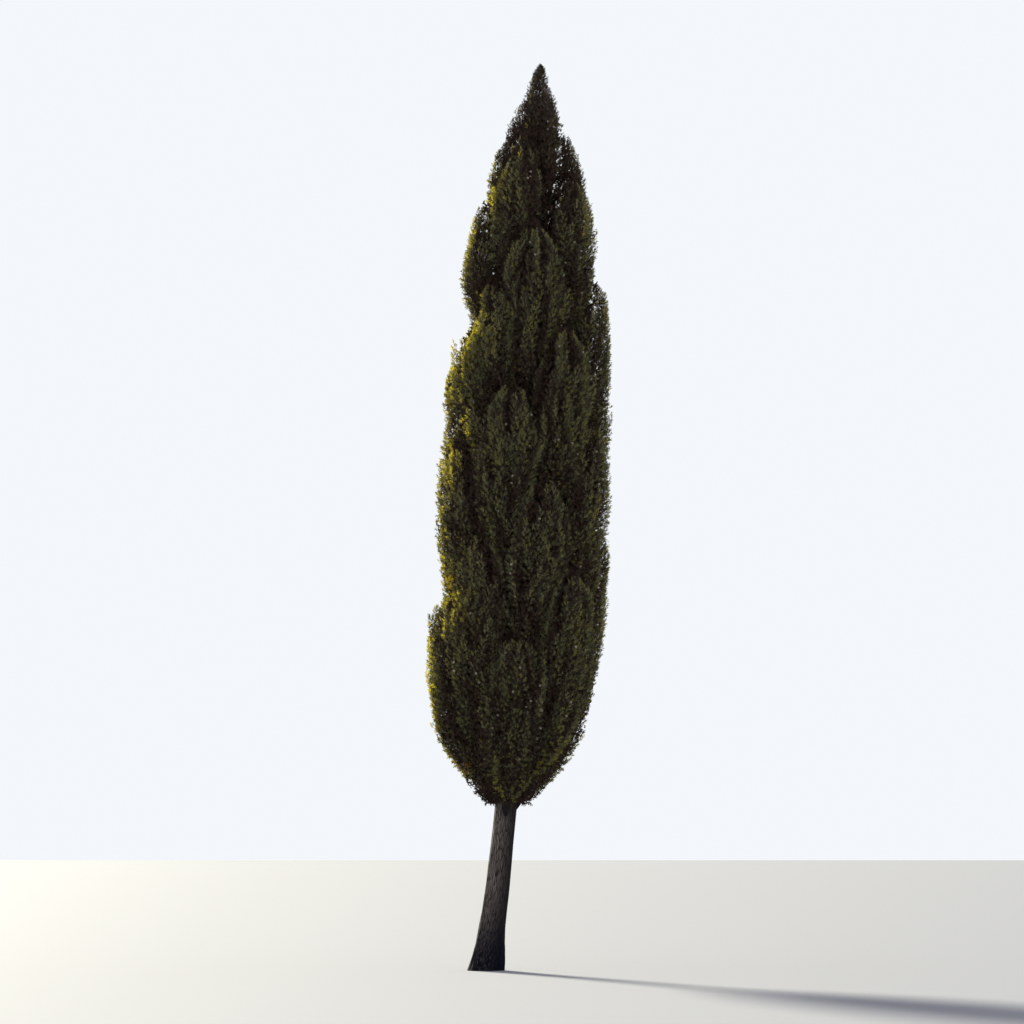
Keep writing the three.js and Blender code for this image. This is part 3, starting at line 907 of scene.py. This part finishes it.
def grow_sprays(name, kind, material, root, heading, length):
    """Joins the sprays with these roots into one piece, or into several if one would be too big."""
    patterns, spray_triangles = kind
    roll = unit(len(root))
    each = MOST_TRIANGLES // len(spray_triangles)
    pieces = math.ceil(len(root) / each)
    for part in range(pieces):
        mine = slice(part * each, (part + 1) * each)
        first, second = across(heading[mine], roll[mine])
        pattern = patterns[np.arange(len(first)) % SPRAY_PATTERNS] * length[mine][:, None, None]
        axes = np.stack([heading[mine], first, second], axis=1)
        corners = root[mine][:, None, :] + np.einsum("nck,nkd->ncd", pattern, axes)
        base = np.arange(len(first))[:, None, None] * pattern.shape[1]
        faces = (spray_triangles[None] + base).reshape(-1, 3)
        suffix = f"_{part + 1}" if pieces > 1 else ""
        joined_mesh(name + suffix, corners.reshape(-1, 3), faces, material, FOLIAGE_NODES)


spray_tuft = np.repeat(np.arange(tufts), SPRAYS_PER_TUFT)
sprays = len(spray_tuft)
spray_step = np.tile(np.arange(SPRAYS_PER_TUFT), tufts)
spray_share = (spray_step + chance.random(sprays)) / SPRAYS_PER_TUFT
spray_root, spray_axis = along_tuft(spray_tuft, spray_share * LAST_SPRAY)
spray_turn = spray_step * GOLDEN_ANGLE + chance.normal(0, 0.3, sprays)
spray_turn = spray_turn + chance.uniform(0, ANY_TURN, tufts)[spray_tuft]
spray_turn = spray_turn - GATHERED * np.sin(spray_turn)
outward, sideways = across(spray_axis, compass(tuft_turned[spray_tuft]))
spread = between(*SPRAY_SPREAD, spray_share) * chance.uniform(0.7, 1.3, sprays)
aside = np.cos(spray_turn)[:, None] * outward + np.sin(spray_turn)[:, None] * sideways
spray_heading = np.cos(spread)[:, None] * spray_axis + np.sin(spread)[:, None] * aside
girth = TUFT_GIRTH * tuft_size[spray_tuft] * between(1, TIP_GIRTH, spray_share) * chance.random(sprays)
spray_root = spray_root + girth[:, None] * aside
tuft_length = SPRAY_LENGTH * np.clip(tuft_size, SHORT_SPRAYS, 1) * between(SLIM_SPRAYS, 1, tuft_slim)
spray_length = tuft_length[spray_tuft] * between(*SPRAY_LENGTHS, spray_share)
spray_length *= chance.uniform(0.8, 1.2, sprays)
spray_tip = spray_root + spray_heading * spray_length[:, None]

# Sprays that reach too far past the crown's outline are moved in.
spray_offset = (spray_tip - trunk_axis(spray_tip[:, 2]))[:, :2]
spray_away = np.linalg.norm(spray_offset, axis=1)
crown_limit = np.maximum(SLIMMEST_CROWN, crown_radius(np.maximum(WIDEST_HEIGHT, spray_tip[:, 2])))
excess = np.maximum(0, spray_away - crown_limit - OVERHANG) / np.maximum(1e-9, spray_away)
spray_root[:, :2] -= excess[:, None] * spray_offset
spray_tip[:, :2] -= excess[:, None] * spray_offset


def edge_share(plume, points):
    """How near points are to the edge of their plume's own space: 1 there and 0 at its heart."""
    away = (points - heart(plume, points[:, 2]))[:, :2]
    edge = own_reach(plume, points[:, 2], np.arctan2(away[:, 1], away[:, 0]))
    return np.linalg.norm(away, axis=1) / np.maximum(0.05, edge)


# Patches run round the crown in two crossing waves. The edge is measured before the dents are made.
tuft_patch = np.sin(2.9 * tuft_foot + 2 * tuft_angle) * np.sin(3 * tuft_angle - 1.7 * tuft_foot)
grown_tip = spray_tip - tuft_shift[spray_tuft]
spray_edge = ramp(edge_share(tuft_plume[spray_tuft], grown_tip), *EDGE_FROM)
# Painted light and shade: the tone rises where a tuft is lit, towards its tip, at its plume's edge and on
# its outer side.
tuft_tone = TONE_LIT * tuft_lit + TONE_PATCH * tuft_patch + chance.normal(0, TUFT_VARIETY, tufts)
tone = LEAST_TONE + tuft_tone[spray_tuft] + chance.normal(0, SPRAY_VARIETY, sprays)
tone += TONE_ALONG * spray_share + TONE_EDGE * spray_edge + TONE_OUTER * np.cos(spray_turn)
# Painted shade: the leaves darken near the tree's tip.
tone -= ramp(spray_tip[:, 2], *DARK_TOP) * np.clip(tone - LEAF_COLOURS["deep"][0], 0, DARKER_BY)
for x, z in WITHERED_AT:
    away = np.hypot(spray_tip[:, 0] - x, spray_tip[:, 2] - z)
    near = away < WITHERED_RADIUS * chance.random(sprays) ** 0.5
    tone[near & (spray_edge > 0) & (spray_tip[:, 1] < WITHERED_FRONT)] = WITHERED_TONE


def leaf_finish(name, colour, glow):
    """Matt scale leaves. Where glow has a share, that much of the light from behind comes through."""
    finish = plain_finish(f"leaves_{name}", colour, 0.72)
    if glow:
        through = finish.add("ShaderNodeBsdfTranslucent", {}, {"Color": (*GLOW_COLOUR, 1)})
        lit = finish.add(
            "ShaderNodeMixShader", {}, {0: glow, 1: finish.shader.outputs[0], 2: through.outputs[0]}
        )
        finish.feed(finish.tree.nodes["Material Output"].inputs["Surface"], lit.outputs[0])
    return finish.material


colour_names = list(LEAF_COLOURS)
starts = [LEAF_COLOURS[name][0] for name in colour_names] + [math.inf]
for index, name in enumerate(colour_names):
    mine = (tone >= starts[index]) & (tone < starts[index + 1])
    grow_sprays(
        f"sprays_{name}",
        shaded_sprays if name in SHADED_COLOURS else fresh_sprays,
        leaf_finish(name, *LEAF_COLOURS[name][1:]),
        spray_root[mine],
        spray_heading[mine],
        spray_length[mine],
    )


# Inner sprays: old, half-bare growth round the limbs and the trunk, brown for want of light, and dark
# enough to be painted shade between the plumes as well. They are sparser and longer than the outer ones,
# and close the view through the crown. At its foot they stand closer together, and shorter ones also on
# the outer part of the lowest boughs.
INNER_SPRAYS = 38000
INNER_CANDIDATES = 100000
LEVEL_STEP = 0.05
FRESH_TOP = 0.18  # height of the tree's tip that has no old growth inside
INNER_LENGTH = 0.19
INNER_GROWTH = 1.7  # how fast they reach that length, going in from a plume's edge
INNER_SMALLEST = 0.4
INNER_HEADING = (0.3, 0.4, 0.85)  # shares of outward, any way and up
INNER_EDGE = 0.22  # how far inside a plume's reach they stay, as a share of it
CLOSED_FOOT = (4.4, 3.4)  # from the first height down to the second they get closer and reach farther
CORE_SHARE = 0.85  # of the crown's radius, where they also fill the gaps between plumes
THIN_CROWN = 0.9  # below this radius of the crown they are smaller and closer together
LOW_PLUMES = 8  # whose boughs bear them too
BOUGH_SPRAYS = 260  # on the outer part of each low bough
BOUGH_SPRAY_LENGTH = 0.10
BOUGH_HEADING = (0.5, 0.8, 0.25)
BOUGH_SPACING = 0.7  # exponent: below 1 they stand closer towards its end
BOUGH_GIRTH = 0.12  # how far from their bough they may stand
BARE_TO = 2.17  # height below which the trunk and boughs have no sprays


def inner_size(z):
    """Share of their full length that they have at height z."""
    return np.clip(crown_radius(z) / THIN_CROWN, INNER_SMALLEST, 1)


def inner_places():
    """Roots spread through the plumes, each one's way out, and how deep it stands in its plume."""
    levels = np.arange(CROWN_FOOT, CROWN_TOP - FRESH_TOP, LEVEL_STEP)
    weight = crown_radius(levels) / inner_size(levels) ** 2 * (1 + ramp(levels, *CLOSED_FOOT))
    z = chance.choice(levels, INNER_CANDIDATES, p=weight / weight.sum())
    z = z + chance.uniform(0, LEVEL_STEP, INNER_CANDIDATES)
    angle = chance.uniform(0, 2 * math.pi, INNER_CANDIDATES)
    away = crown_radius(z) * np.sqrt(chance.random(INNER_CANDIDATES))
    point = trunk_axis(z) + away[:, None] * compass(angle)
    depth = np.zeros(INNER_CANDIDATES)
    for plume in range(LEADER + 1):
        gap = np.linalg.norm(point - heart(np.full(z.shape, plume), z), axis=1)
        depth = np.maximum(depth, 1 - gap / np.maximum(1e-3, reach(np.full(z.shape, plume), z)))
    depth = np.maximum(depth, 1 - away / np.maximum(1e-3, CORE_SHARE * crown_radius(z)))
    depth = np.minimum(depth, 2 * (1 - away / np.maximum(1e-3, crown_radius(z))))
    edge = 1 - (1 - INNER_EDGE) * slimness(z) - 0.5 * INNER_EDGE * ramp(z, *CLOSED_FOOT)
    edge += NOTCH_DEPTH * notch(point)
    kept = np.flatnonzero(depth > edge)[:INNER_SPRAYS]
    return point[kept], compass(angle[kept]), depth[kept]


def bough_places():
    """Roots on the outer part of the lowest boughs, where the crown closes round the trunk."""
    points, ways = [], []
    for plume in range(LOW_PLUMES):
        path = np.vstack([bough_path(plume), heart(np.array([plume]), plume_foot[plume : plume + 1])])
        share = chance.uniform(0.3, 1, BOUGH_SPRAYS) ** BOUGH_SPACING * (len(path) - 1)
        low = np.minimum(share.astype(int), len(path) - 2)
        points.append(path[low] + (share - low)[:, None] * (path[low + 1] - path[low]))
        ways.append(np.tile(compass(plume_angle[plume]), (BOUGH_SPRAYS, 1)))
    points = np.vstack(points)
    points = points + unit(len(points)) * chance.uniform(0, BOUGH_GIRTH, len(points))[:, None]
    high = points[:, 2] > BARE_TO
    return points[high], np.vstack(ways)[high]


def grow_brown(name, kind, root, outward, mix, length):
    """Dead sprays, their brown darkened as painted shade, whose headings are a mix of outward, any way and
    up.
    """
    heading = outward * mix[0] + unit(len(root)) * mix[1] + [0, 0, mix[2]]
    heading = heading / np.linalg.norm(heading, axis=1)[:, None]
    length = length * chance.uniform(0.7, 1.1, len(root))
    grow_sprays(name, kind, dead_leaves_and_shade, root, heading, length)


# Dead leaves' brown, darkened to paint the shade inside the crown and under it.
dead_leaves_and_shade = plain_finish("leaves_dead_and_shaded", (0.052, 0.034, 0.025), 0.85).material
inner_root, inner_way, inner_depth = inner_places()
inner_root = dented(inner_root, CROWN_TOP)
inner_length = INNER_LENGTH * np.clip(inner_depth * INNER_GROWTH, INNER_SMALLEST, 1)
inner_length *= inner_size(inner_root[:, 2])
grow_brown("sprays_inner", inner_sprays, inner_root, inner_way, INNER_HEADING, inner_length)
bough_root, bough_way = bough_places()
grow_brown("sprays_on_boughs", shaded_sprays, bough_root, bough_way, BOUGH_HEADING, BOUGH_SPRAY_LENGTH)


# Cones: round woody seed cones, 3 to 4 cm across, of a dozen scales with a knob on each. They sit
# singly and in pairs among the sprays in the light, and the weather has bleached them pale grey-brown.
CONE_RADIUS = 0.017
SCALES = 12  # on the corners of an icosahedron, which are the ball's first ones
KNOB_RISE = 1.12
JOINT_SINK = 0.93
CONE_AT = 0.6  # where a cone sits on its spray
FIRST_CONE = 6  # steps up a tuft's spiral, below which none sit
LONE_CONES = 270
PAIRED_CONES = 70  # of these have a second cone beside them
NEXT_SPRAY = 5  # steps along a tuft's spiral from a spray to the one beside it


def cone_shape():
    """One cone, modelled once: knobs are drawn out of a ball, and the joints between scales sink in."""
    deselect_all()
    bpy.ops.mesh.primitive_ico_sphere_add(subdivisions=2, radius=CONE_RADIUS, location=(0, 0, 0))
    ball = bpy.context.object
    points = points_of(ball)
    knobs = np.arange(len(points)) < SCALES
    points[knobs] *= KNOB_RISE
    points[~knobs] *= JOINT_SINK
    faces = np.array([list(face.vertices) for face in ball.data.polygons])
    bpy.data.objects.remove(ball)
    return points, faces


cone_points, cone_faces = cone_shape()
cone_tuft = chance.choice(tufts, LONE_CONES, replace=False, p=tuft_lit / tuft_lit.sum())
cone_step = chance.integers(FIRST_CONE, SPRAYS_PER_TUFT - NEXT_SPRAY, LONE_CONES)
first_spray = cone_tuft * SPRAYS_PER_TUFT + cone_step
cone_spray = np.concatenate([first_spray, first_spray[:PAIRED_CONES] + NEXT_SPRAY])
cones = len(cone_spray)
cone_place = between(spray_root[cone_spray], spray_tip[cone_spray], CONE_AT)
cone_corners = cone_place[:, None, :] + cone_points[None] * chance.uniform(0.8, 1.05, cones)[:, None, None]
cone_base = np.arange(cones)[:, None, None] * len(cone_points)
joined_mesh(
    "cones",
    cone_corners.reshape(-1, 3),
    (cone_faces[None] + cone_base).reshape(-1, 3),
    plain_finish("bleached_cone", (0.36, 0.31, 0.25), 0.7).material,
    FOLIAGE_NODES,
)


# Studio: a wide pale floor, one soft warm sun, low behind the tree's left side as in the photograph,
# and even pale light from all round. The camera stands at eye height, 40 m away.
FLOOR_SIZE = 600
SUN_FROM = (-0.40, 0.88, 0.31)
EYE = (0.35, -40.0, 1.6)
AIM_HEIGHT = 5.95
TREE_SHARE = 0.89  # of the picture's height
SENSOR = 36

deselect_all()
bpy.ops.mesh.primitive_plane_add(size=FLOOR_SIZE, location=(0, 0, 0))
floor = bpy.context.object
floor.name = "floor"
floor.data.materials.append(plain_finish("pale_floor", (0.255, 0.265, 0.31), 0.9).material)

world = bpy.data.worlds.new("pale_sky")
bpy.context.scene.world = world
world.use_nodes = True
sky = world.node_tree
shown = sky.nodes.new("ShaderNodeBackground")
shown.inputs["Color"].default_value = (0.90, 0.93, 0.97, 1)
lighting = sky.nodes["Background"]
lighting.inputs["Color"].default_value = (0.93, 0.92, 0.95, 1)
lighting.inputs["Strength"].default_value = 0.80
who_looks = sky.nodes.new("ShaderNodeLightPath")
either = sky.nodes.new("ShaderNodeMixShader")
sky.links.new(who_looks.outputs["Is Camera Ray"], either.inputs[0])
sky.links.new(lighting.outputs[0], either.inputs[1])
sky.links.new(shown.outputs[0], either.inputs[2])
sky.links.new(either.outputs[0], sky.nodes["World Output"].inputs["Surface"])

bpy.ops.object.light_add(type="SUN")
sun = bpy.context.object
sun.data.energy = 12.0
sun.data.angle = math.radians(9)
sun.data.color = (1.0, 0.96, 0.76)
sun.rotation_euler = Vector(SUN_FROM).to_track_quat("Z", "Y").to_euler()

camera_data = bpy.data.cameras.new("camera")
camera = bpy.data.objects.new("camera", camera_data)
bpy.context.scene.collection.objects.link(camera)
camera.location = EYE
distance = -EYE[1]
tilt = math.atan((AIM_HEIGHT - EYE[2]) / distance)
camera.rotation_euler = (math.pi / 2 + tilt, 0, 0)
span = math.atan((cad_box[1].z - EYE[2]) / distance) + math.atan(EYE[2] / distance)
camera_data.sensor_width = SENSOR
camera_data.lens = SENSOR / 2 / math.tan(span / TREE_SHARE / 2)
camera_data.clip_end = 2000
bpy.context.scene.camera = camera
bpy.context.scene.view_settings.view_transform = "Standard"
